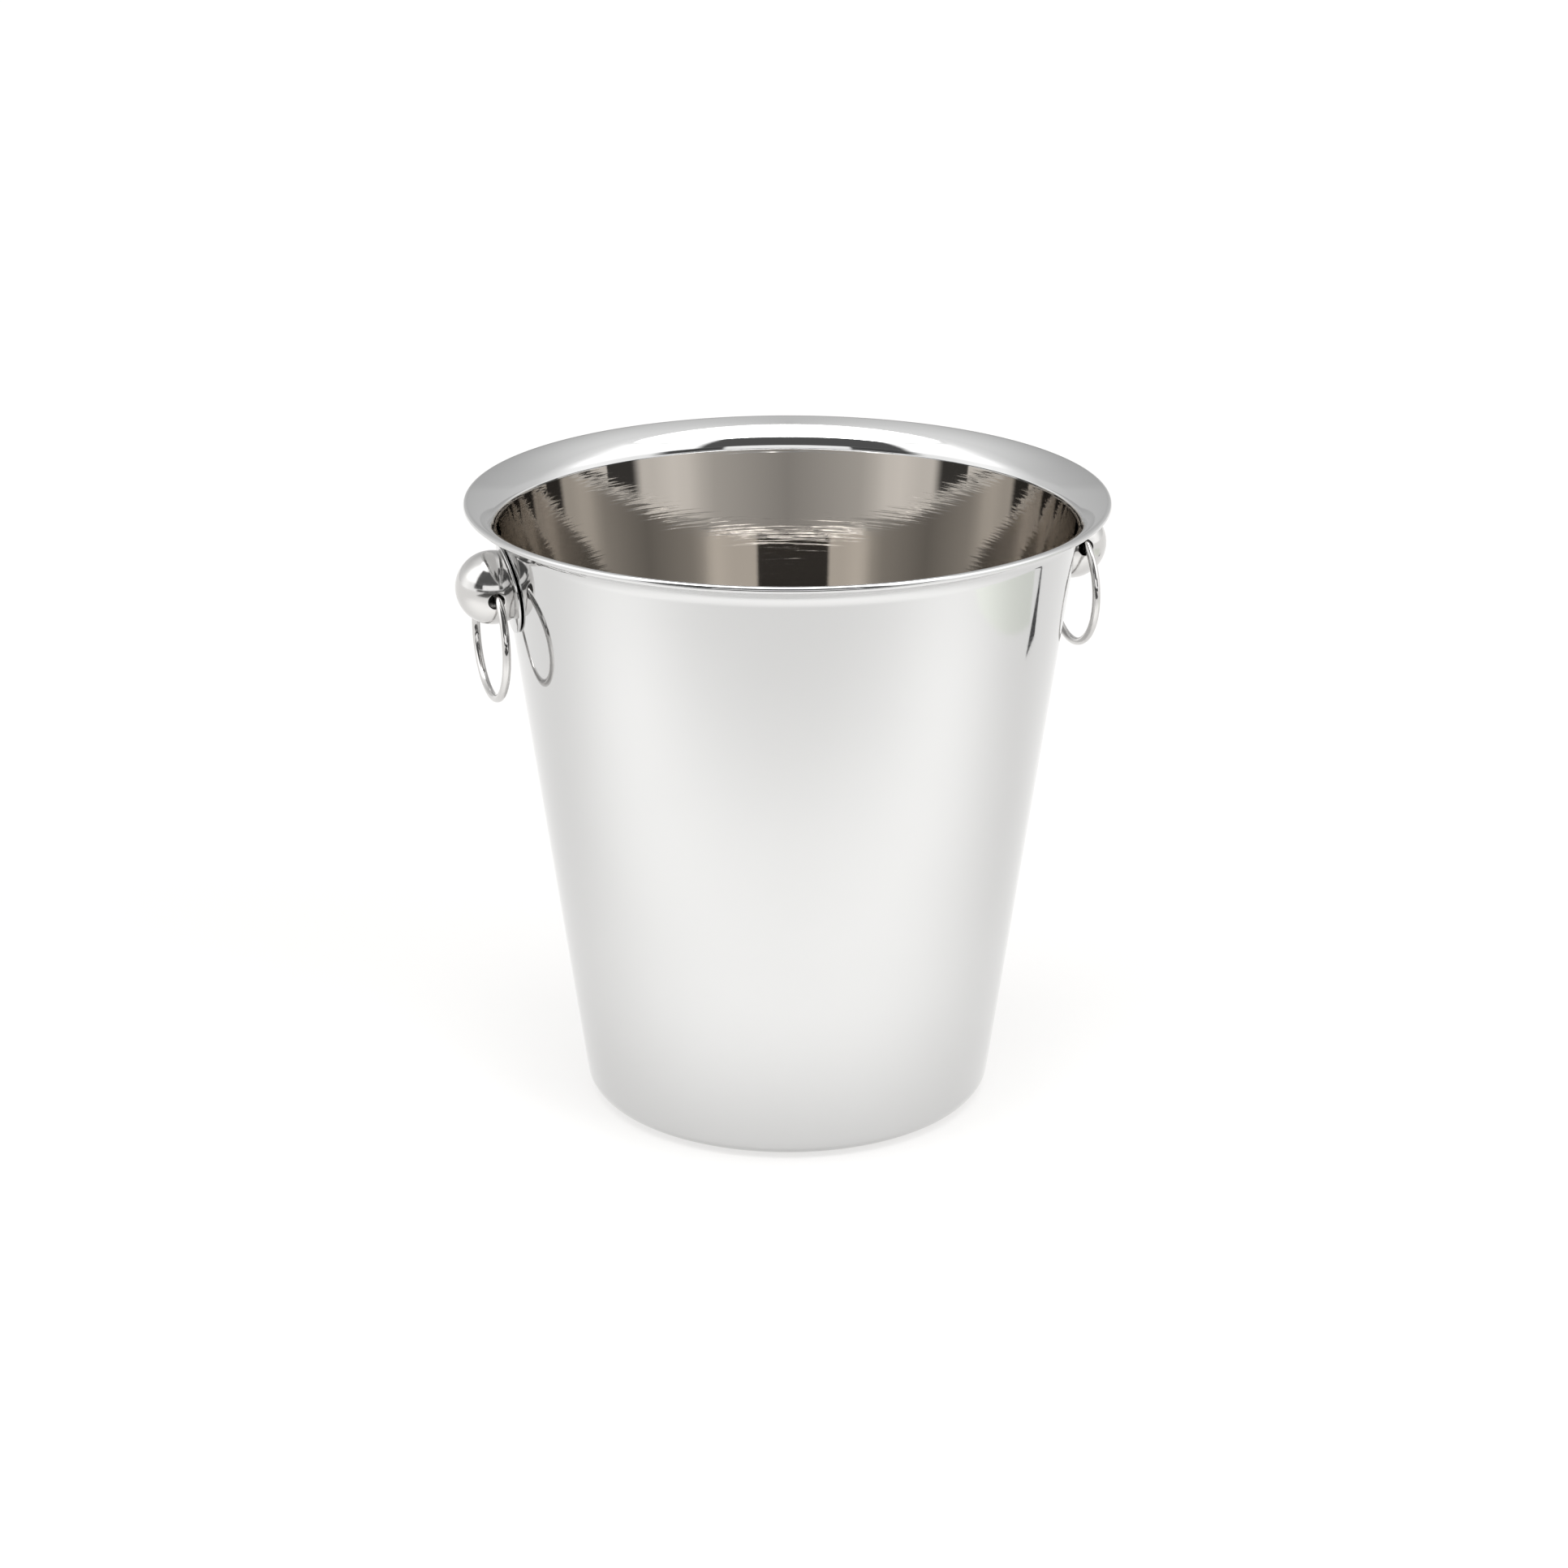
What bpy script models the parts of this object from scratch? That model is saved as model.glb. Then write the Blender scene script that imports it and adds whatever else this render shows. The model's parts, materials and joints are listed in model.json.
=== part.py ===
"""Champagne bucket: a tapered steel shell with a flared, beaded lip and two ball knobs with swinging rings.

Metres, +Z up. The origin is the centre of the base on the table, and the two knobs lie on the X axis.
Everything is worked out from the driving dimensions below.
"""

from math import acos, asin, atan2, cos, pi, radians, sin, sqrt, tan

import bpy

# Shell
SHEET = 0.0007  # thickness of the drawn sheet
HEIGHT = 0.2155  # table to the top of the bead
RIM_RADIUS = 0.110  # axis to the outside of the bead
BEAD_RADIUS = 0.00118  # section of the rolled bead
WALL_FOOT_RADIUS = 0.07073  # where the straight outer wall, continued, meets the table
WALL_TAPER = radians(7.87)  # lean of the wall from upright
BASE_FILLET = 0.0074  # outer radius between the base and the wall
WALL_TOP = 0.2056  # height at which the straight inner wall gives way to the lip
LIP_ROOT_RADIUS = 0.008  # the lip leaves the wall on this tight arc, measured on its upper face,
LIP_ROOT_TILT = radians(40)  # as far as this lean from upright, and goes on in a wider arc to the bead

# Knobs, placed along the wall's own normal
KNOB_HEIGHT = 0.19146  # height at which a knob's axis leaves the wall
BALL_RADIUS = 0.0125
BALL_SHEET = 0.001
BALL_STANDOFF = 0.00545  # wall to the centre of the ball, along the knob's axis
DISC_RADIUS = 0.0153
DISC_THICKNESS = 0.0008
DISC_DROP = 0.0016  # the disc's centre lies this far below the ball's, along the wall
DISC_EDGE = 0.00022  # rounding of the disc's edge
GAP = 0.0003  # clearance between neighbouring solids

# Rings, which hang in two holes through each ball
HOLE_RADIUS = 0.00285
HOLE_FORWARD = 0.00115  # the holes lie this far outwards of the ball's centre
HOLE_OFFSET = 0.0014  # and this far to one side of it: the right knob is fitted the other way up
RING_RADIUS = 0.0203  # centre line of the wire
WIRE_RADIUS = 0.0014
RING_TWIST = radians(3.8)  # the rings hang slightly turned in their loose holes

SHELL_STEPS = 96
BALL_STEPS = 40
RING_STEPS = 60
WIRE_SIDES = 12
MERGE = 0.00001
SHARP_ANGLE = radians(28)

SIDES = {"left": -1, "right": 1}


def clear_scene():
    for existing in list(bpy.data.objects):
        bpy.data.objects.remove(existing)


def new_collection(name):
    collection = bpy.data.collections.new(name)
    bpy.context.scene.collection.children.link(collection)
    return collection


def steel(name, colour, roughness):
    material = bpy.data.materials.new(name)
    material.use_nodes = True
    shader = material.node_tree.nodes["Principled BSDF"]
    shader.inputs["Base Color"].default_value = (*colour, 1.0)
    shader.inputs["Metallic"].default_value = 1.0
    shader.inputs["Roughness"].default_value = roughness
    return material


def arc(centre, radius, start, end, count):
    """Points of an arc in the section plane; angles are measured from +X towards +Z."""
    angles = [start + (end - start) * i / (count - 1) for i in range(count)]
    return [(centre[0] + radius * cos(a), centre[1] + radius * sin(a)) for a in angles]


def put(obj, collection):
    for owner in list(obj.users_collection):
        owner.objects.unlink(obj)
    collection.objects.link(obj)


def smooth(mesh):
    mesh.shade_smooth()
    mesh.set_sharp_from_angle(angle=SHARP_ANGLE)


def turned(name, section, steps, material, collection):
    """A solid turned about its own Z from a section at +X that runs down its outer side."""
    mesh = bpy.data.meshes.new(name)
    points = [(x, 0.0, z) for x, z in section]
    mesh.from_pydata(points, [(i, i + 1) for i in range(len(points) - 1)], [])
    mesh.materials.append(material)
    obj = bpy.data.objects.new(name, mesh)
    collection.objects.link(obj)
    screw = obj.modifiers.new("Turn", "SCREW")
    screw.axis = "Z"
    screw.angle = 2 * pi
    screw.steps = steps
    screw.render_steps = steps
    screw.use_merge_vertices = True
    screw.merge_threshold = MERGE
    screw.use_smooth_shade = True
    return obj


def empty(name, location, rotation, collection):
    marker = bpy.data.objects.new(name, None)
    marker.empty_display_size = 0.01
    marker.location = location
    marker.rotation_euler = rotation
    collection.objects.link(marker)
    return marker


def wall_radius(height):
    """Outer radius of the straight wall at a height."""
    return WALL_FOOT_RADIUS + tan(WALL_TAPER) * height


def shell_section():
    """Half section from the inside of the base, up the inner face, over the bead and down the outer face."""
    bead = (RIM_RADIUS - BEAD_RADIUS, HEIGHT - BEAD_RADIUS)
    inner_top = wall_radius(WALL_TOP) - SHEET / cos(WALL_TAPER)
    root = (inner_top + LIP_ROOT_RADIUS * cos(WALL_TAPER), WALL_TOP - LIP_ROOT_RADIUS * sin(WALL_TAPER))
    # The wide arc touches the tight one where they meet, and the bead where it ends.
    across, up = bead[0] - root[0], bead[1] - root[1]
    inset = LIP_ROOT_RADIUS - BEAD_RADIUS
    lean = inset + across * cos(LIP_ROOT_TILT) - up * sin(LIP_ROOT_TILT)
    shift = (across**2 + up**2 - inset**2) / (2 * lean)
    lip = (root[0] + shift * cos(LIP_ROOT_TILT), root[1] - shift * sin(LIP_ROOT_TILT))
    lip_radius = LIP_ROOT_RADIUS + shift
    end_angle = atan2(bead[1] - lip[1], bead[0] - lip[0])
    # The bead runs round until it meets the lip's under face.
    reach = lip_radius - BEAD_RADIUS
    under_radius = lip_radius - SHEET
    tuck = acos((under_radius**2 - reach**2 - BEAD_RADIUS**2) / (2 * reach * BEAD_RADIUS))
    under_start = end_angle + asin(BEAD_RADIUS * sin(tuck) / under_radius)

    flat_edge = WALL_FOOT_RADIUS - BASE_FILLET * tan((pi / 2 - WALL_TAPER) / 2)
    fillet = (flat_edge, BASE_FILLET)
    wall_angle, join_angle = pi - WALL_TAPER, pi - LIP_ROOT_TILT
    section = [(0.0, SHEET)]
    section += arc(fillet, BASE_FILLET - SHEET, -pi / 2, -WALL_TAPER, 6)
    section += arc(root, LIP_ROOT_RADIUS, wall_angle, join_angle, 5)
    section += arc(lip, lip_radius, join_angle, end_angle, 6)[1:]
    section += arc(bead, BEAD_RADIUS, end_angle, end_angle + tuck - 2 * pi, 11)[1:]
    section += arc(lip, under_radius, under_start, join_angle, 5)[1:]
    section += arc(root, LIP_ROOT_RADIUS - SHEET, join_angle, wall_angle, 5)[1:]
    section += arc(fillet, BASE_FILLET, -WALL_TAPER, -pi / 2, 7)
    return section + [(0.0, 0.0)]


def ball_section():
    """Half section of the hollow ball about the knob's axis, open where it meets the disc."""
    foot = DISC_THICKNESS + 2 * GAP - BALL_STANDOFF
    inner_radius = BALL_RADIUS - BALL_SHEET
    outside = arc((0.0, 0.0), BALL_RADIUS, pi / 2, asin(foot / BALL_RADIUS), 12)
    inside = arc((0.0, 0.0), inner_radius, asin(foot / inner_radius), pi / 2, 10)
    outside[0] = (0.0, BALL_RADIUS)
    inside[-1] = (0.0, inner_radius)
    return outside + inside


def make_shell(material, collection):
    return turned("bucket_shell", shell_section(), SHELL_STEPS, material, collection)


def make_disc(name, knob_axis, material, collection):
    """Flat collar disc between the knob and the tapered wall."""
    bpy.ops.mesh.primitive_cylinder_add(vertices=56, radius=DISC_RADIUS, depth=DISC_THICKNESS)
    disc = bpy.context.object
    disc.name = name
    disc.data.name = name
    put(disc, collection)
    disc.parent = knob_axis
    disc.location = (DISC_DROP, 0.0, GAP + DISC_THICKNESS / 2)
    disc.data.materials.append(material)
    bevel = disc.modifiers.new("Rounded edge", "BEVEL")
    bevel.width = DISC_EDGE
    bevel.segments = 2
    bevel.limit_method = "ANGLE"
    smooth(disc.data)
    return disc


def make_ball(name, knob_axis, hole_shift, material, collection, cutters):
    """Hollow ball with two holes, drilled in one pass along the knob's Y."""
    ball = turned(name, ball_section(), BALL_STEPS, material, collection)
    ball.parent = knob_axis
    ball.location = (0.0, 0.0, BALL_STANDOFF)

    bpy.ops.mesh.primitive_cylinder_add(vertices=28, radius=HOLE_RADIUS, depth=4 * BALL_RADIUS)
    drill = bpy.context.object
    drill.name = name + "_drill"
    put(drill, cutters)
    drill.hide_render = True
    drill.display_type = "WIRE"
    drill.parent = ball
    drill.location = (hole_shift, 0.0, HOLE_FORWARD)
    drill.rotation_euler = (pi / 2, 0.0, 0.0)

    holes = ball.modifiers.new("Ring holes", "BOOLEAN")
    holes.operation = "DIFFERENCE"
    holes.object = drill
    return ball


def make_ring(name, side, hole_shift, material, collection):
    """Wire ring that hangs from the line between the two holes of its ball."""
    outwards = BALL_STANDOFF + HOLE_FORWARD
    reach = wall_radius(KNOB_HEIGHT) + outwards * cos(WALL_TAPER) - hole_shift * sin(WALL_TAPER)
    height = KNOB_HEIGHT - outwards * sin(WALL_TAPER) - hole_shift * cos(WALL_TAPER)
    hinge = empty(name + "_hinge", (side * reach, 0.0, height), (0.0, 0.0, RING_TWIST), collection)

    off_centre = sqrt(HOLE_FORWARD**2 + HOLE_OFFSET**2)
    half_chord = sqrt((BALL_RADIUS - BALL_SHEET / 2) ** 2 - off_centre**2)
    drop = sqrt(RING_RADIUS**2 - half_chord**2)
    bpy.ops.mesh.primitive_torus_add(
        major_radius=RING_RADIUS,
        minor_radius=WIRE_RADIUS,
        major_segments=RING_STEPS,
        minor_segments=WIRE_SIDES,
    )
    ring = bpy.context.object
    ring.name = name
    ring.data.name = name
    put(ring, collection)
    ring.parent = hinge
    ring.location = (0.0, 0.0, -drop)
    ring.rotation_euler = (0.0, pi / 2, 0.0)
    ring.data.materials.append(material)
    smooth(ring.data)
    return ring


def make_knob(label, side, materials, collection, cutters):
    """Disc, ball and ring of one side."""
    turn = (0.0, pi / 2 + WALL_TAPER, 0.0 if side > 0 else pi)
    root = (side * wall_radius(KNOB_HEIGHT), 0.0, KNOB_HEIGHT)
    knob_axis = empty(label + "_knob_axis", root, turn, collection)
    hole_shift = -side * HOLE_OFFSET
    make_disc(label + "_collar_disc", knob_axis, materials["disc"], collection)
    make_ball(label + "_ball_knob", knob_axis, hole_shift, materials["ball"], collection, cutters)
    make_ring(label + "_pull_ring", side, hole_shift, materials["wire"], collection)


def main():
    clear_scene()
    collection = new_collection("champagne_bucket")
    cutters = new_collection("cutters")
    materials = {
        "shell": steel("polished_shell", (0.78, 0.77, 0.75), 0.06),
        "disc": steel("polished_disc", (0.74, 0.74, 0.74), 0.12),
        "ball": steel("satin_ball", (0.76, 0.75, 0.73), 0.20),
        "wire": steel("polished_wire", (0.74, 0.73, 0.72), 0.08),
    }
    make_shell(materials["shell"], collection)
    for label, side in SIDES.items():
        make_knob(label, side, materials, collection, cutters)


main()
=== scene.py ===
"""Looks of the polished steel champagne bucket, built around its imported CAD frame.

Metres, +Z up, in the row frame: the origin is the centre of the base and the two knobs lie on X.
"""

import json
from math import acos, asin, atan2, cos, pi, radians, sin, sqrt, tan

import bmesh
import bpy
from mathutils import Euler, Matrix, Vector


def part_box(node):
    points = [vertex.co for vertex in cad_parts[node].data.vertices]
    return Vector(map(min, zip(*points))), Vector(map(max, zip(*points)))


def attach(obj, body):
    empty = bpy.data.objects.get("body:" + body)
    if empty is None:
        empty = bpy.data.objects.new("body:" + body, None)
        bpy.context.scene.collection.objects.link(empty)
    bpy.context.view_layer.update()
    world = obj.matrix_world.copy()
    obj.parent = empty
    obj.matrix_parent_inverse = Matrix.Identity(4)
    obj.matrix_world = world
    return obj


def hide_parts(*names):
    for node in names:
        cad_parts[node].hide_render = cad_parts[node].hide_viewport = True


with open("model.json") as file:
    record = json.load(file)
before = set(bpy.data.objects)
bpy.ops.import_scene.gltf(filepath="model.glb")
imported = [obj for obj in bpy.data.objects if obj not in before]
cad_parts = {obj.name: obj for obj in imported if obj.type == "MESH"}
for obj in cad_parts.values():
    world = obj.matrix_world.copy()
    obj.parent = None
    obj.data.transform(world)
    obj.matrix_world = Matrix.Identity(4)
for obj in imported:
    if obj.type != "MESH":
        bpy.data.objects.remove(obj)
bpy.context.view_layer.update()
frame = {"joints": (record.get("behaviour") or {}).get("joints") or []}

SHELL_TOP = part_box("bucket_shell")[1]

# Shell, as in the CAD model
SHEET = 0.0007
HEIGHT = SHELL_TOP.z
RIM_RADIUS = SHELL_TOP.x
BEAD_RADIUS = 0.00118
WALL_FOOT_RADIUS = 0.07073
WALL_TAPER = radians(7.87)
BASE_FILLET = 0.0074
WALL_TOP = 0.2056
LIP_ROOT_RADIUS = 0.008
LIP_ROOT_TILT = radians(40)

# Knobs and rings, as in the CAD model
KNOB_HEIGHT = 0.19146
BALL_RADIUS = 0.0125
BALL_STANDOFF = 0.00545
DISC_RADIUS = 0.0153
DISC_THICKNESS = 0.0008
DISC_DROP = 0.0016
GAP = 0.0003
HOLE_RADIUS = 0.00285
HOLE_FORWARD = 0.00115
HOLE_OFFSET = 0.0014
RING_RADIUS = 0.0203
WIRE_RADIUS = 0.0014

# Fineness of the visible surfaces
SHELL_STEPS = 384
FLOOR_RINGS = 8
OUTER_WALL_ROWS = 24
DISC_STEPS = 160
DISC_RINGS = 12
BALL_AROUND = 96
BALL_ROWS = 40
RING_AROUND = 240
WIRE_AROUND = 32
DISC_EDGE = 0.00030
HOLE_EDGE = 0.00025
DISC_BEND = 0.85
FOOT_GAP = 0.00006

# The hidden inside of each ball is thinner than in the CAD model: its sheet narrows the holes
# inwards, and the ring's wire needs its clearance there at every pose.
BALL_SHEET = 0.0006

# Pressing leaves the inside of the wall very slightly barrel-shaped below the lip. These are
# (height, lean added to the taper in degrees); between them the lean changes evenly.
BOW = ((0.110, 0.0), (0.134, 0.8), (0.150, 0.2), (0.165, -1.0), (0.180, -0.6), (WALL_TOP, -0.5))
BOW_STEPS = 96

# Camera: it stands in front of the bucket, a little to the left knob's side
CAMERA_TURN = radians(-15.35)
CAMERA_TILT = radians(70.007)
CAMERA_PLACE = (-0.3131, -1.1406, 0.5409)
CAMERA_LENS = 82.55
CAMERA_SHIFT = -0.0022
MIRROR_BOUNCES = 16

SIDES = {"left": -1, "right": 1}


# Geometry ---------------------------------------------------------------------------------------


def arc(centre, radius, start, end, count):
    """Points of an arc in the section plane; angles are measured from +X towards +Z."""
    angles = [start + (end - start) * i / (count - 1) for i in range(count)]
    return [(centre[0] + radius * cos(a), centre[1] + radius * sin(a)) for a in angles]


def wall_radius(height):
    """Outer radius of the straight wall at a height."""
    return WALL_FOOT_RADIUS + tan(WALL_TAPER) * height


def bow_lean(height):
    """Lean that the inside of the wall adds to its taper at a height, in radians."""
    if height <= BOW[0][0]:
        return 0.0
    for (low, first), (high, second) in zip(BOW, BOW[1:]):
        if height <= high:
            return radians(first + (second - first) * (height - low) / (high - low))
    return radians(BOW[-1][1])


def inner_wall(top):
    """Inner face of the wall from above the fillet up to a point below the lip, slightly bowed."""
    low = BASE_FILLET * 1.2
    rise = (top[1] - low) / BOW_STEPS
    radius, z = top
    points = []
    for i in range(1, BOW_STEPS):
        radius -= rise * tan(WALL_TAPER + bow_lean(z - rise / 2))
        z -= rise
        points.append((radius, z))
    return points[::-1]


def outer_wall(count):
    """Outer face of the wall from the lip down, without its two ends."""
    low = BASE_FILLET * 1.2
    heights = [WALL_TOP - (WALL_TOP - low) * i / count for i in range(1, count)]
    return [(wall_radius(z), z) for z in heights]


def shell_section():
    """Inside of the shell up to the lip, and the rest of the section, over the lip to the base."""
    bead = (RIM_RADIUS - BEAD_RADIUS, HEIGHT - BEAD_RADIUS)
    inner_top = wall_radius(WALL_TOP) - SHEET / cos(WALL_TAPER)
    root = (
        inner_top + LIP_ROOT_RADIUS * cos(WALL_TAPER),
        WALL_TOP - LIP_ROOT_RADIUS * sin(WALL_TAPER),
    )
    across, up = bead[0] - root[0], bead[1] - root[1]
    inset = LIP_ROOT_RADIUS - BEAD_RADIUS
    lean = inset + across * cos(LIP_ROOT_TILT) - up * sin(LIP_ROOT_TILT)
    shift = (across**2 + up**2 - inset**2) / (2 * lean)
    lip = (root[0] + shift * cos(LIP_ROOT_TILT), root[1] - shift * sin(LIP_ROOT_TILT))
    lip_radius = LIP_ROOT_RADIUS + shift
    end_angle = atan2(bead[1] - lip[1], bead[0] - lip[0])
    reach = lip_radius - BEAD_RADIUS
    under_radius = lip_radius - SHEET
    tuck = acos((under_radius**2 - reach**2 - BEAD_RADIUS**2) / (2 * reach * BEAD_RADIUS))
    under_start = end_angle + asin(BEAD_RADIUS * sin(tuck) / under_radius)

    flat_edge = WALL_FOOT_RADIUS - BASE_FILLET * tan((pi / 2 - WALL_TAPER) / 2)
    fillet = (flat_edge, BASE_FILLET)
    wall_angle, join_angle = pi - WALL_TAPER, pi - LIP_ROOT_TILT
    floor = [(0.0, SHEET)] + [(flat_edge * i / FLOOR_RINGS, SHEET) for i in range(1, FLOOR_RINGS)]
    inside = floor + arc(fillet, BASE_FILLET - SHEET, -pi / 2, -WALL_TAPER, 14)
    outside = arc(root, LIP_ROOT_RADIUS, wall_angle - bow_lean(WALL_TOP), join_angle, 30)
    inside += inner_wall(outside[0])
    outside += arc(lip, lip_radius, join_angle, end_angle, 26)[1:]
    outside += arc(bead, BEAD_RADIUS, end_angle, end_angle + tuck - 2 * pi, 40)[1:]
    outside += arc(lip, under_radius, under_start, join_angle, 22)[1:]
    outside += arc(root, LIP_ROOT_RADIUS - SHEET, join_angle, wall_angle, 18)[1:]
    outside += outer_wall(OUTER_WALL_ROWS)
    outside += arc(fillet, BASE_FILLET, -WALL_TAPER, -pi / 2, 16)
    outside += [(flat_edge * i / FLOOR_RINGS, 0.0) for i in range(FLOOR_RINGS - 1, -1, -1)]
    return inside, outside


def new_object(name, mesh, matrix=None):
    obj = bpy.data.objects.new(name, mesh)
    bpy.context.scene.collection.objects.link(obj)
    if matrix is not None:
        obj.matrix_world = matrix
    return obj


def turned_mesh(name, section, steps, split=0):
    """Closed mesh turned about Z. Faces whose section points come before split take material 1."""
    bm = bmesh.new()
    rings = []
    for x, z in section:
        if x < 1e-7:
            rings.append([bm.verts.new((0.0, 0.0, z))])
            continue
        turn = [2 * pi * i / steps for i in range(steps)]
        rings.append([bm.verts.new((x * cos(a), x * sin(a), z)) for a in turn])
    for index, (low, high) in enumerate(zip(rings, rings[1:])):
        for i in range(steps):
            j = (i + 1) % steps
            corners = [low[i % len(low)], low[j % len(low)]]
            corners += [high[j % len(high)], high[i % len(high)]]
            corners = [v for k, v in enumerate(corners) if v not in corners[:k]]
            face = bm.faces.new(corners)
            face.smooth = True
            face.material_index = 1 if index < split else 0
    bmesh.ops.recalc_face_normals(bm, faces=bm.faces)
    mesh = bpy.data.meshes.new(name)
    bm.to_mesh(mesh)
    bm.free()
    return mesh


def make_shell(outside_material, inside_material):
    inside, outside = shell_section()
    mesh = turned_mesh("polished_shell", inside + outside, SHELL_STEPS, split=len(inside))
    mesh.materials.append(outside_material)
    mesh.materials.append(inside_material)
    shell = new_object("polished_shell", mesh)
    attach(shell, "bucket")
    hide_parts("bucket_shell")
    return shell


def knob_matrix(side):
    """Knob frame on the wall: Z along the wall's normal, X down the wall, Y level."""
    place = Vector((side * wall_radius(KNOB_HEIGHT), 0.0, KNOB_HEIGHT))
    turn = Euler((0.0, pi / 2 + WALL_TAPER, 0.0 if side > 0 else pi))
    return Matrix.Translation(place) @ turn.to_matrix().to_4x4()


def disc_drop(y):
    """How far the disc, pressed to the round wall, falls back at a distance from its middle."""
    return DISC_BEND * y**2 / (2 * wall_radius(KNOB_HEIGHT))


def make_disc(label, side, material):
    """Collar disc: a stamped blank with rounded edges."""
    name = label + "_collar"
    half = DISC_THICKNESS / 2
    edge = DISC_RADIUS - DISC_EDGE
    section = [(edge * i / DISC_RINGS, half) for i in range(DISC_RINGS)]
    section += arc((edge, half - DISC_EDGE), DISC_EDGE, pi / 2, 0.0, 8)
    section += arc((edge, DISC_EDGE - half), DISC_EDGE, 0.0, -pi / 2, 8)
    section += [(edge * i / DISC_RINGS, -half) for i in range(DISC_RINGS - 1, -1, -1)]
    mesh = turned_mesh(name, section, DISC_STEPS)
    for vertex in mesh.vertices:
        vertex.co.z -= disc_drop(vertex.co.y)
    mesh.materials.append(material)
    centre = Matrix.Translation((DISC_DROP, 0.0, GAP + half))
    disc = new_object(name, mesh, knob_matrix(side) @ centre)
    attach(disc, "bucket")
    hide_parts(label + "_collar_disc")
    return disc


def half_ball(bm, shift, around, rows, side):
    """Half of the ball on one side of Y, woven in loops from the hole's edge to the equator."""
    loops = []
    for row in range(rows + 1):
        t = sin(pi / 2 * row / rows)
        loop = []
        for i in range(around):
            a = 2 * pi * i / around
            along = shift * cos(a) + HOLE_FORWARD * sin(a)
            far = -along + sqrt(along**2 + BALL_RADIUS**2 - shift**2 - HOLE_FORWARD**2)
            reach = HOLE_RADIUS + (far - HOLE_RADIUS) * t
            x = shift + reach * cos(a)
            z = HOLE_FORWARD + reach * sin(a)
            y = sqrt(max(0.0, BALL_RADIUS**2 - x**2 - z**2))
            loop.append(bm.verts.new((x, side * y, z)))
        loops.append(loop)
    for low, high in zip(loops, loops[1:]):
        for i in range(around):
            j = (i + 1) % around
            bm.faces.new((low[i], low[j], high[j], high[i]))


def make_ball(label, side, material):
    """Hollow ball with two holes for the ring's wire, open where it meets the disc."""
    name = label + "_ball"
    shift = -side * HOLE_OFFSET
    bm = bmesh.new()
    half_ball(bm, shift, BALL_AROUND, BALL_ROWS, 1)
    half_ball(bm, shift, BALL_AROUND, BALL_ROWS, -1)
    bmesh.ops.remove_doubles(bm, verts=bm.verts, dist=1e-7)
    foot = DISC_THICKNESS + GAP + FOOT_GAP - BALL_STANDOFF
    geometry = bm.verts[:] + bm.edges[:] + bm.faces[:]
    bmesh.ops.bisect_plane(
        bm, geom=geometry, dist=1e-8, plane_co=(0, 0, foot), plane_no=(0, 0, 1), clear_inner=True
    )
    for vertex in bm.verts:
        if vertex.co.z < foot + 1e-7:
            z = foot - disc_drop(vertex.co.y)
            flat = Vector((vertex.co.x, vertex.co.y)).normalized() * sqrt(BALL_RADIUS**2 - z**2)
            vertex.co = (flat.x, flat.y, z)
    bmesh.ops.recalc_face_normals(bm, faces=bm.faces)
    if sum(f.normal.dot(f.calc_center_median()) for f in bm.faces) < 0:
        bmesh.ops.reverse_faces(bm, faces=bm.faces)
    for face in bm.faces:
        face.smooth = True
    mesh = bpy.data.meshes.new(name)
    bm.to_mesh(mesh)
    bm.free()
    mesh.materials.append(material)
    ball = new_object(name, mesh, knob_matrix(side) @ Matrix.Translation((0.0, 0.0, BALL_STANDOFF)))
    wall = ball.modifiers.new("Sheet", "SOLIDIFY")
    wall.thickness = BALL_SHEET
    wall.offset = -1.0
    edges = ball.modifiers.new("Rounded holes", "BEVEL")
    edges.width = HOLE_EDGE
    edges.segments = 4
    edges.limit_method = "ANGLE"
    edges.angle_limit = radians(50)
    ball.modifiers.new("Face normals", "WEIGHTED_NORMAL")
    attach(ball, "bucket")
    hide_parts(label + "_ball_knob")
    return ball


def make_ring(label, joint, material):
    """Wire ring that hangs on its hinge line, which runs between the two holes of the ball."""
    name = label + "_wire_ring"
    bm = bmesh.new()
    loops = []
    for i in range(RING_AROUND):
        a = 2 * pi * i / RING_AROUND
        loop = []
        for k in range(WIRE_AROUND):
            b = 2 * pi * k / WIRE_AROUND
            reach = RING_RADIUS + WIRE_RADIUS * cos(b)
            loop.append(bm.verts.new((WIRE_RADIUS * sin(b), reach * sin(a), reach * cos(a))))
        loops.append(loop)
    for i in range(RING_AROUND):
        low, high = loops[i], loops[(i + 1) % RING_AROUND]
        for k in range(WIRE_AROUND):
            m = (k + 1) % WIRE_AROUND
            bm.faces.new((low[k], low[m], high[m], high[k])).smooth = True
    bmesh.ops.recalc_face_normals(bm, faces=bm.faces)
    mesh = bpy.data.meshes.new(name)
    bm.to_mesh(mesh)
    bm.free()
    mesh.materials.append(material)
    low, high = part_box(label + "_pull_ring")
    axis = Vector(joint["axis"])
    twist = atan2(-axis.x, axis.y) if axis.y > 0 else atan2(axis.x, -axis.y)
    place = Matrix.Translation((low + high) / 2) @ Matrix.Rotation(twist, 4, "Z")
    ring = new_object(name, mesh, place)
    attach(ring, label + "_ring")
    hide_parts(label + "_pull_ring")
    return ring


# Materials --------------------------------------------------------------------------------------


def add(tree, kind, inputs=None, **settings):
    """New node with its settings, and with its inputs linked or set."""
    node = tree.nodes.new(kind)
    for key, value in settings.items():
        setattr(node, key, value)
    for key, value in (inputs or {}).items():
        if isinstance(value, bpy.types.NodeSocket):
            tree.links.new(value, node.inputs[key])
        else:
            node.inputs[key].default_value = value
    return node


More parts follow.
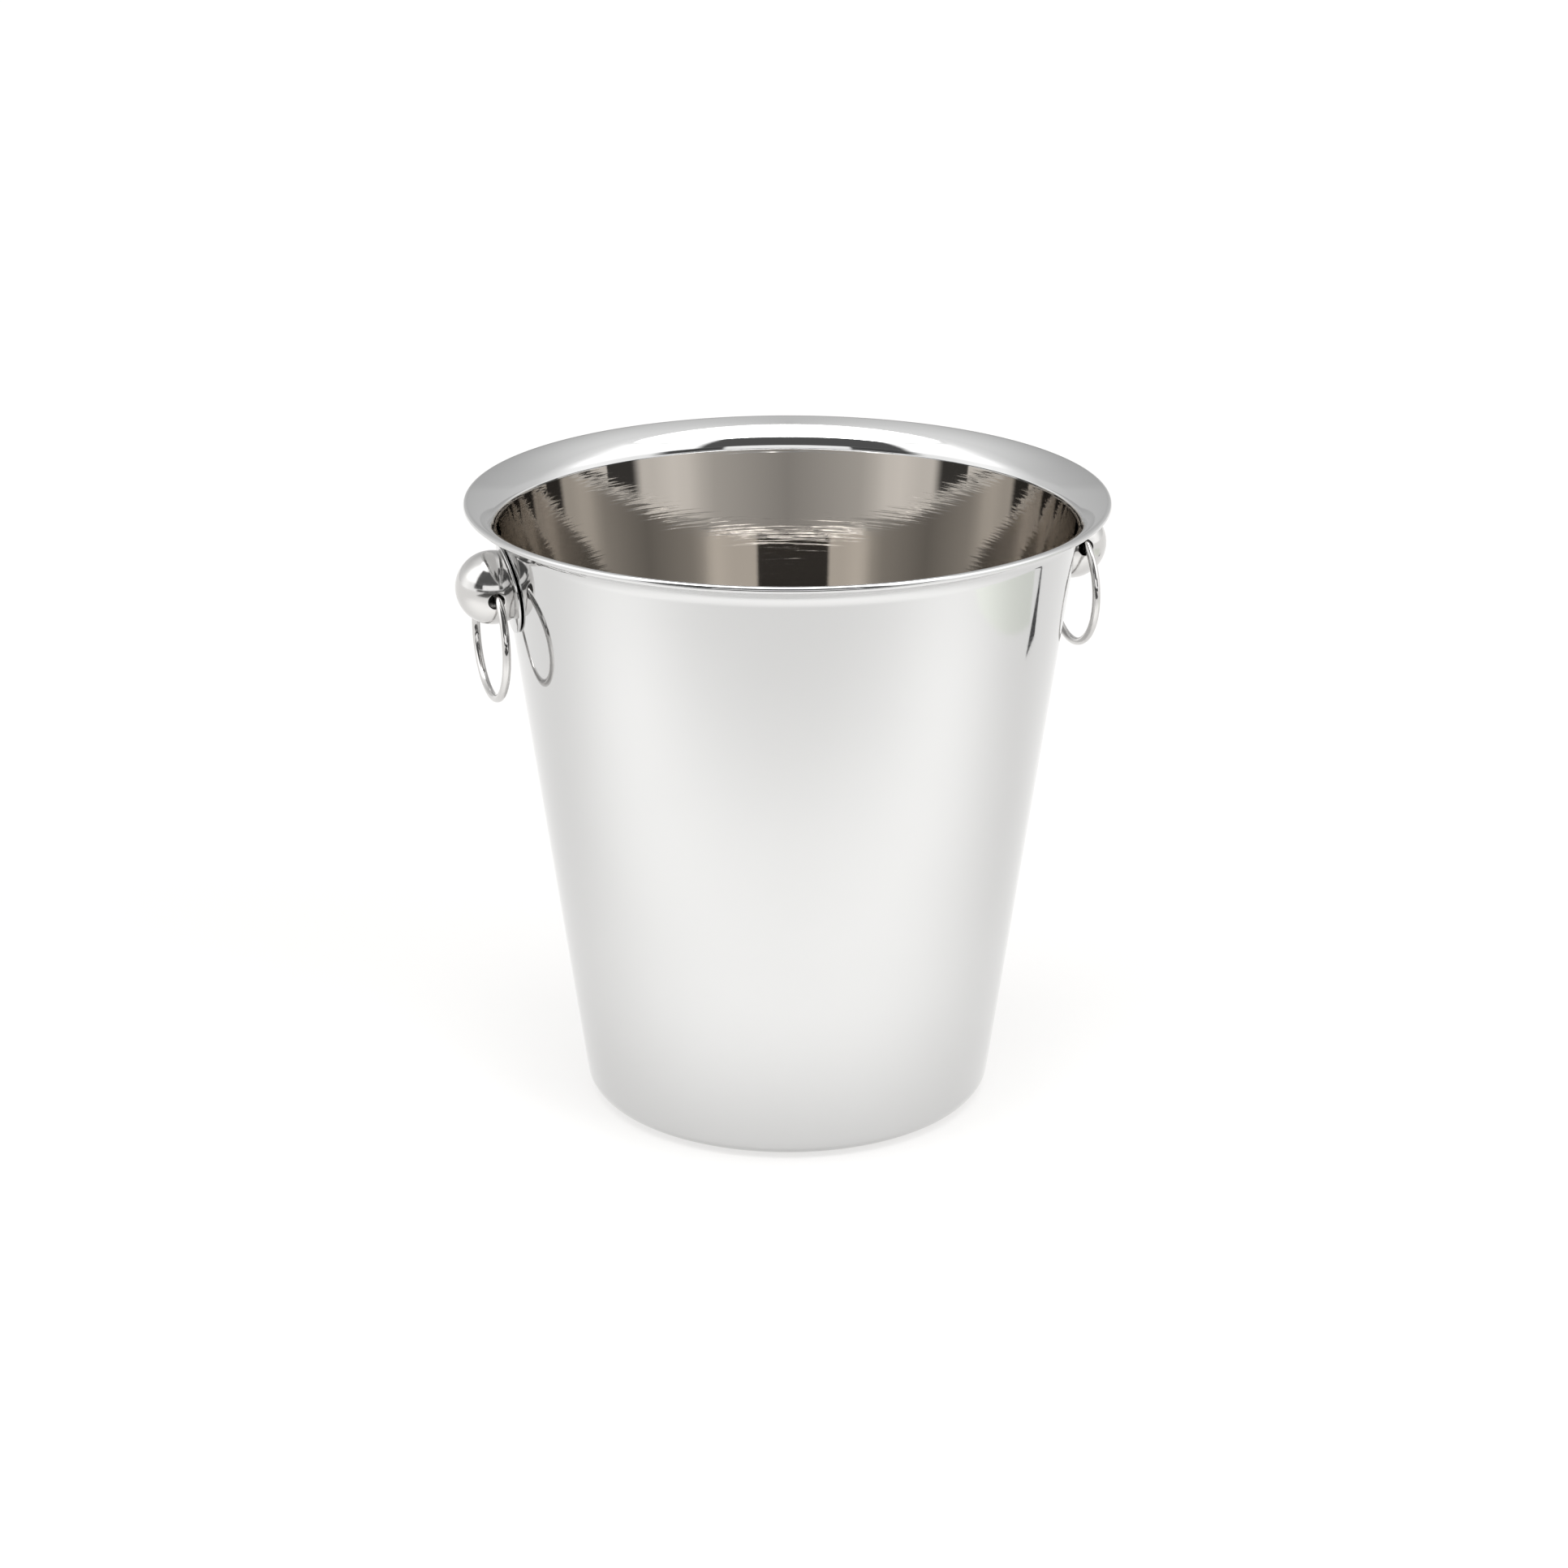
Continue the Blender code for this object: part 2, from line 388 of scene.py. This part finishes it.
def calc(tree, operation, first, second=0.0, clamp=False):
    """Output of a Math node."""
    node = add(tree, "ShaderNodeMath", {0: first, 1: second}, operation=operation, use_clamp=clamp)
    return node.outputs[0]


def product(tree, first, *others):
    """Product of several values."""
    for other in others:
        first = calc(tree, "MULTIPLY", first, other)
    return first


def fade(tree, share, first, second):
    """Value that goes from first to second with the share."""
    inputs = {0: share, 2: first, 3: second}
    return add(tree, "ShaderNodeMix", inputs, data_type="FLOAT").outputs[0]


def step(tree, value, low, high, start=0.0, end=1.0):
    """Smooth step from start at low to end at high."""
    inputs = {"Value": value, "From Min": low, "From Max": high, "To Min": start, "To Max": end}
    node = add(tree, "ShaderNodeMapRange", inputs, interpolation_type="SMOOTHSTEP")
    return node.outputs[0]


def noise(tree, scale, detail=2.0, roughness=0.5, stretch=(1, 1, 1)):
    """Noise over object space, stretched along the axes."""
    place = add(tree, "ShaderNodeTexCoord").outputs["Object"]
    spread = add(tree, "ShaderNodeMapping", {"Vector": place, "Scale": stretch}).outputs[0]
    inputs = {"Vector": spread, "Scale": scale, "Detail": detail, "Roughness": roughness}
    return add(tree, "ShaderNodeTexNoise", inputs).outputs[0]


def new_metal(name):
    """Metal with an empty surface, its shader and its tree."""
    material = bpy.data.materials.new(name)
    material.use_nodes = True
    tree = material.node_tree
    shader = tree.nodes["Principled BSDF"]
    shader.inputs["Metallic"].default_value = 1.0
    return material, tree, shader


def tint(tree, shader, low, high, value):
    """Base colour that wanders between two tones."""
    ramp = add(tree, "ShaderNodeMix", {0: value, 6: (*low, 1.0), 7: (*high, 1.0)}, data_type="RGBA")
    tree.links.new(ramp.outputs[2], shader.inputs["Base Color"])


# Finishes: the two tones that the clouding runs between and its scale, the grain's scale and its
# stretch along the axes, and the lowest and highest roughness
FINISHES = {
    "mirror_polish": (
        (0.605, 0.605, 0.603), (0.635, 0.635, 0.633), 16.0, 1.0, (500, 500, 2600), (0.035, 0.075)
    ),
    "satin_steel": ((0.60, 0.592, 0.582), (0.64, 0.63, 0.62), 120.0, 900.0, (1, 1, 1), (0.10, 0.16)),
    "polished_blank": (
        (0.585, 0.583, 0.58), (0.62, 0.618, 0.615), 150.0, 700.0, (1, 1, 1), (0.06, 0.11)
    ),
    "drawn_wire": ((0.58, 0.57, 0.56), (0.65, 0.64, 0.63), 260.0, 1500.0, (1, 1, 1), (0.05, 0.10)),
}


def steel(name):
    """Polished steel: faint clouding, and a fine grain that varies its gloss."""
    dark, light, cloud_scale, grain_scale, stretch, haze = FINISHES[name]
    material, tree, shader = new_metal(name)
    tint(tree, shader, dark, light, noise(tree, cloud_scale, 3.0))
    grain = noise(tree, grain_scale, 2.0, 0.6, stretch)
    tree.links.new(step(tree, grain, 0.3, 0.7, *haze), shader.inputs["Roughness"])
    return material


INSIDE_TONES = ((0.585, 0.56, 0.53), (0.615, 0.592, 0.562))
INSIDE_ROUGHNESS = 0.03
LINE_STRETCH = (45, 45, 1000)
LINE_DEPTH = 0.000012


def inside_steel():
    """Spun inside: fine level lines that break up each reflection."""
    material, tree, shader = new_metal("spun_inside")
    shader.inputs["Roughness"].default_value = INSIDE_ROUGHNESS
    tint(tree, shader, *INSIDE_TONES, noise(tree, 9.0, 2.0))
    lines = noise(tree, 1.0, 1.5, 0.45, LINE_STRETCH)
    bump = add(tree, "ShaderNodeBump", {"Height": lines, "Strength": 1.0, "Distance": LINE_DEPTH})
    tree.links.new(bump.outputs[0], shader.inputs["Normal"])
    return material


# Studio -----------------------------------------------------------------------------------------

# Brightness of the room against the compass: the angle from straight behind the bucket, as a share
# of the half turn to the camera, and the brightness there.
ROOM = (
    (0.0, 0.57), (0.12, 0.69), (0.25, 0.82), (0.33, 0.90), (0.39, 1.10),
    (0.45, 1.38), (0.52, 1.47), (0.62, 1.28), (0.80, 1.30), (1.0, 1.30),
)
ROOM_SCALE = 2.0
BACK_EDGE = (radians(50), radians(80))
BACK_DIP = -0.07
BACK_DIP_HEIGHTS = (radians(15), radians(21))
BACK_RISE = 0.27
BACK_RISE_HEIGHTS = (radians(28), radians(60))
SIDE_EDGE = (radians(70), radians(90))
SIDE_RISE = 0.45
SIDE_RISE_HEIGHTS = (radians(15), radians(24))
SOFT_EDGE = radians(1.0)
DARK_TURN = radians(187)
DARK_ENDS = (radians(42), radians(48))
DARK_LOW, DARK_HIGH = radians(20), radians(63)
DARK_VALUE = 0.12
GAP_BEGINS = (radians(120), radians(131))
GAP_END = radians(154)
GAP_LOW, GAP_HIGH = radians(6.5), radians(20.5)
GAP_VALUE = 0.09
HORIZON_BEGINS = (radians(131), radians(139))
HORIZON_HIGH = radians(5)
HORIZON_VALUE = 0.06


def make_world():
    """Soft room: grey behind the bucket, bright at both sides, dark above the camera."""
    world = bpy.data.worlds.new("studio")
    bpy.context.scene.world = world
    world.use_nodes = True
    tree = world.node_tree
    background = tree.nodes["Background"]
    way = add(tree, "ShaderNodeTexCoord").outputs["Generated"]
    turn = {"Vector": way, "Angle": -CAMERA_TURN}
    turned = add(tree, "ShaderNodeVectorRotate", turn, rotation_type="Z_AXIS").outputs[0]
    right, ahead, up = add(tree, "ShaderNodeSeparateXYZ", {0: turned}).outputs
    height = calc(tree, "ARCSINE", up)
    compass = calc(tree, "ARCTAN2", right, ahead)
    aside = calc(tree, "ABSOLUTE", compass)

    ramp = add(tree, "ShaderNodeValToRGB", {0: calc(tree, "DIVIDE", aside, pi)})
    elements = ramp.color_ramp.elements
    for index, (place, value) in enumerate(ROOM):
        element = elements[index] if index < 2 else elements.new(place)
        element.position = place
        level = value / ROOM_SCALE
        element.color = (level, level, level, 1.0)
    room = calc(tree, "MULTIPLY", ramp.outputs[0], ROOM_SCALE)

    # The back wall gets lighter towards the ceiling, and the side panels are brighter higher up
    behind = step(tree, aside, *BACK_EDGE, 1.0, 0.0)
    dip = step(tree, height, *BACK_DIP_HEIGHTS, 0.0, BACK_DIP)
    rise = step(tree, height, *BACK_RISE_HEIGHTS, 0.0, BACK_RISE)
    room = calc(tree, "ADD", room, calc(tree, "MULTIPLY", behind, calc(tree, "ADD", dip, rise)))
    beyond = step(tree, aside, *SIDE_EDGE)
    panel = step(tree, height, *SIDE_RISE_HEIGHTS, 0.0, SIDE_RISE)
    room = calc(tree, "ADD", room, calc(tree, "MULTIPLY", beyond, panel))

    # Low down there are dark stretches on both sides of the camera
    soft = SOFT_EDGE
    begins = step(tree, aside, *GAP_BEGINS)
    ends = step(tree, aside, GAP_END - soft, GAP_END + soft, 1.0, 0.0)
    over = step(tree, height, GAP_LOW - soft, GAP_LOW + soft)
    under = step(tree, height, GAP_HIGH - soft, GAP_HIGH + soft, 1.0, 0.0)
    room = fade(tree, product(tree, over, under, begins, ends), room, GAP_VALUE)

    # The horizon in front of the table is dark
    ahead_of = step(tree, aside, *HORIZON_BEGINS)
    low = step(tree, height, HORIZON_HIGH - soft, HORIZON_HIGH + soft, 1.0, 0.0)
    room = fade(tree, product(tree, ahead_of, low), room, HORIZON_VALUE)

    # Dark stretch above and around the camera
    off = calc(tree, "SUBTRACT", compass, DARK_TURN)
    wrapped = add(tree, "ShaderNodeMath", {0: off, 1: pi, 2: -pi}, operation="WRAP").outputs[0]
    beside = calc(tree, "ABSOLUTE", wrapped)
    within = step(tree, beside, *DARK_ENDS, 1.0, 0.0)
    above = step(tree, height, DARK_LOW - soft, DARK_LOW + soft)
    below = step(tree, height, DARK_HIGH - soft, DARK_HIGH + soft, 1.0, 0.0)
    room = fade(tree, product(tree, within, above, below), room, DARK_VALUE)
    tree.links.new(room, background.inputs["Color"])
    background.inputs["Strength"].default_value = 1.0


TABLE_TONES = ((0.39, 0.39, 0.387), (0.41, 0.41, 0.407))
TABLE_GLOW_COLOUR = (1.0, 0.99, 0.98, 1.0)
TABLE_GLOW = 0.605
TABLE_HALF = 15.0
TABLE_HEIGHT = -0.0001


def floor_material():
    """Pale acrylic table top, lit a little from below."""
    material = bpy.data.materials.new("pale_table")
    material.use_nodes = True
    tree = material.node_tree
    shader = tree.nodes["Principled BSDF"]
    tone = noise(tree, 3.0, 2.0)
    tint(tree, shader, *TABLE_TONES, tone)
    shader.inputs["Roughness"].default_value = 0.9
    shader.inputs["Specular IOR Level"].default_value = 0.1
    shader.inputs["Emission Color"].default_value = TABLE_GLOW_COLOUR
    shader.inputs["Emission Strength"].default_value = TABLE_GLOW
    return material


def make_floor():
    mesh = bpy.data.meshes.new("floor")
    bm = bmesh.new()
    bmesh.ops.create_grid(bm, x_segments=4, y_segments=4, size=TABLE_HALF)
    bm.to_mesh(mesh)
    bm.free()
    mesh.materials.append(floor_material())
    floor = new_object("floor", mesh)
    floor.location = (0.0, 0.0, TABLE_HEIGHT)
    return floor


# Things beside and before the table that show only as reflections: a grey-green sheet at the right
# with a faint painted glow, a dark wedge beyond it, and a near-black sheet that stands in for the
# dark room below the camera as painted shade. X is right of the bucket and Y behind it as the camera
# sees them.
SHEET_CORNERS = ((0.425, -0.150), (0.425, 0.150), (0.80, 0.20), (0.80, -0.22))
SHEET_TONE = (0.70, 0.72, 0.67)
# The sheet glows a little: painted light that stands in for the light falling on it.
SHEET_PAINTED_GLOW = 0.20
# A dark wedge lying on the table, seen only in reflections.
WEDGE_CORNERS = ((0.392, 0.140), (0.490, 0.214), (0.404, 0.188))
WEDGE_TONE = (0.02, 0.02, 0.022)
# A near-black sheet on the table in front stands in for the unlit room there: painted shade that
# only reflections see.
FRONT_CORNERS = ((-3.0, -9.0), (3.0, -9.0), (0.75, -0.66), (-0.75, -0.66))
FRONT_TONE = (0.05, 0.048, 0.045)
LYING_HEIGHT = 0.001


def make_lying(name, corners, tone, glow):
    """Flat thing on the table that only reflections see."""
    material = bpy.data.materials.new(name)
    material.use_nodes = True
    shader = material.node_tree.nodes["Principled BSDF"]
    shader.inputs["Base Color"].default_value = (*tone, 1.0)
    shader.inputs["Roughness"].default_value = 0.8
    shader.inputs["Emission Color"].default_value = (*tone, 1.0)
    shader.inputs["Emission Strength"].default_value = glow
    bm = bmesh.new()
    bm.faces.new([bm.verts.new((x, y, LYING_HEIGHT)) for x, y in corners])
    mesh = bpy.data.meshes.new(name)
    bm.to_mesh(mesh)
    bm.free()
    mesh.materials.append(material)
    lying = new_object(name, mesh, Matrix.Rotation(CAMERA_TURN, 4, "Z"))
    lying.visible_camera = False
    lying.visible_diffuse = False
    lying.visible_shadow = False


TOP_LIGHT_HEIGHT = 1.10
TOP_LIGHT_WIDTH = 1.10
TOP_LIGHT_DEPTH = 0.55
TOP_LIGHT_FORWARD = 0.019
TOP_LIGHT_STRENGTH = 8.0
TOP_LIGHT_NEAR_FADE = 0.03
TOP_LIGHT_FAR_FADE = 0.20
TOP_LIGHT_SIDE_FADE = 0.15


def make_top_light():
    """Soft box over the bucket, a little towards the camera, with edges that fade."""
    material = bpy.data.materials.new("soft_box")
    material.use_nodes = True
    tree = material.node_tree
    tree.nodes.clear()
    place = add(tree, "ShaderNodeTexCoord").outputs["Generated"]
    across, along, _ = add(tree, "ShaderNodeSeparateXYZ", {0: place}).outputs
    near = step(tree, along, 0.0, TOP_LIGHT_NEAR_FADE)
    far = step(tree, along, 1.0 - TOP_LIGHT_FAR_FADE, 1.0, 1.0, 0.0)
    left = step(tree, across, 0.0, TOP_LIGHT_SIDE_FADE)
    right = step(tree, across, 1.0 - TOP_LIGHT_SIDE_FADE, 1.0, 1.0, 0.0)
    shape = product(tree, near, far, left, right)
    power = calc(tree, "MULTIPLY", shape, TOP_LIGHT_STRENGTH)
    glow = add(tree, "ShaderNodeEmission", {"Strength": power})
    clear = add(tree, "ShaderNodeBsdfTransparent")
    solid = calc(tree, "MULTIPLY", shape, 4.0, clamp=True)
    mix = add(tree, "ShaderNodeMixShader", {0: solid, 1: clear.outputs[0], 2: glow.outputs[0]})
    output = add(tree, "ShaderNodeOutputMaterial")
    tree.links.new(mix.outputs[0], output.inputs["Surface"])
    mesh = bpy.data.meshes.new("soft_box")
    bm = bmesh.new()
    bmesh.ops.create_grid(bm, x_segments=2, y_segments=2, size=0.5)
    bm.to_mesh(mesh)
    bm.free()
    mesh.materials.append(material)
    turn = Matrix.Rotation(CAMERA_TURN, 4, "Z")
    scale = Matrix.Diagonal((TOP_LIGHT_WIDTH, TOP_LIGHT_DEPTH, 1.0, 1.0))
    place = Matrix.Translation((0.0, -TOP_LIGHT_FORWARD, TOP_LIGHT_HEIGHT))
    card = new_object("soft_box", mesh, turn @ place @ scale)
    card.visible_camera = False
    card.visible_diffuse = False
    card.visible_shadow = False
    return card


POOL_HEIGHT = 0.60
POOL_WIDTH = 0.95
POOL_DEPTH = 0.26
POOL_FORWARD = 0.16
POOL_SPREAD = radians(40)
POOL_POWER = 0.84


def make_pool_light():
    """Narrow overhead light that brightens the table round the bucket."""
    data = bpy.data.lights.new("pool", "AREA")
    data.shape = "RECTANGLE"
    data.size = POOL_WIDTH
    data.size_y = POOL_DEPTH
    data.spread = POOL_SPREAD
    data.energy = POOL_POWER
    light = new_object("pool", data)
    place = Matrix.Translation((0.0, -POOL_FORWARD, POOL_HEIGHT))
    light.matrix_world = Matrix.Rotation(CAMERA_TURN, 4, "Z") @ place
    light.visible_glossy = False


def make_camera():
    data = bpy.data.cameras.new("camera")
    data.lens = CAMERA_LENS
    data.sensor_width = 36.0
    data.shift_x = CAMERA_SHIFT
    camera = bpy.data.objects.new("camera", data)
    camera.location = CAMERA_PLACE
    camera.rotation_euler = (CAMERA_TILT, 0.0, CAMERA_TURN)
    bpy.context.scene.collection.objects.link(camera)
    bpy.context.scene.camera = camera
    bpy.context.scene.view_settings.view_transform = "Standard"


def make_mirror_depth():
    """The hollow bucket mirrors itself many times over."""
    bpy.context.scene.cycles.max_bounces = MIRROR_BOUNCES
    bpy.context.scene.cycles.glossy_bounces = MIRROR_BOUNCES


def main():
    make_camera()
    make_mirror_depth()
    make_world()
    make_floor()
    make_lying("sheet", SHEET_CORNERS, SHEET_TONE, SHEET_PAINTED_GLOW)
    make_lying("dark_wedge", WEDGE_CORNERS, WEDGE_TONE, 0.0)
    make_lying("room_front", FRONT_CORNERS, FRONT_TONE, 0.0)
    make_top_light()
    make_pool_light()
    make_shell(steel("mirror_polish"), inside_steel())
    disc, ball, wire = steel("polished_blank"), steel("satin_steel"), steel("drawn_wire")
    joints = {joint["child"]: joint for joint in frame["joints"]}
    for label, side in SIDES.items():
        make_disc(label, side, disc)
        make_ball(label, side, ball)
        make_ring(label, joints[label + "_ring"], wire)


main()
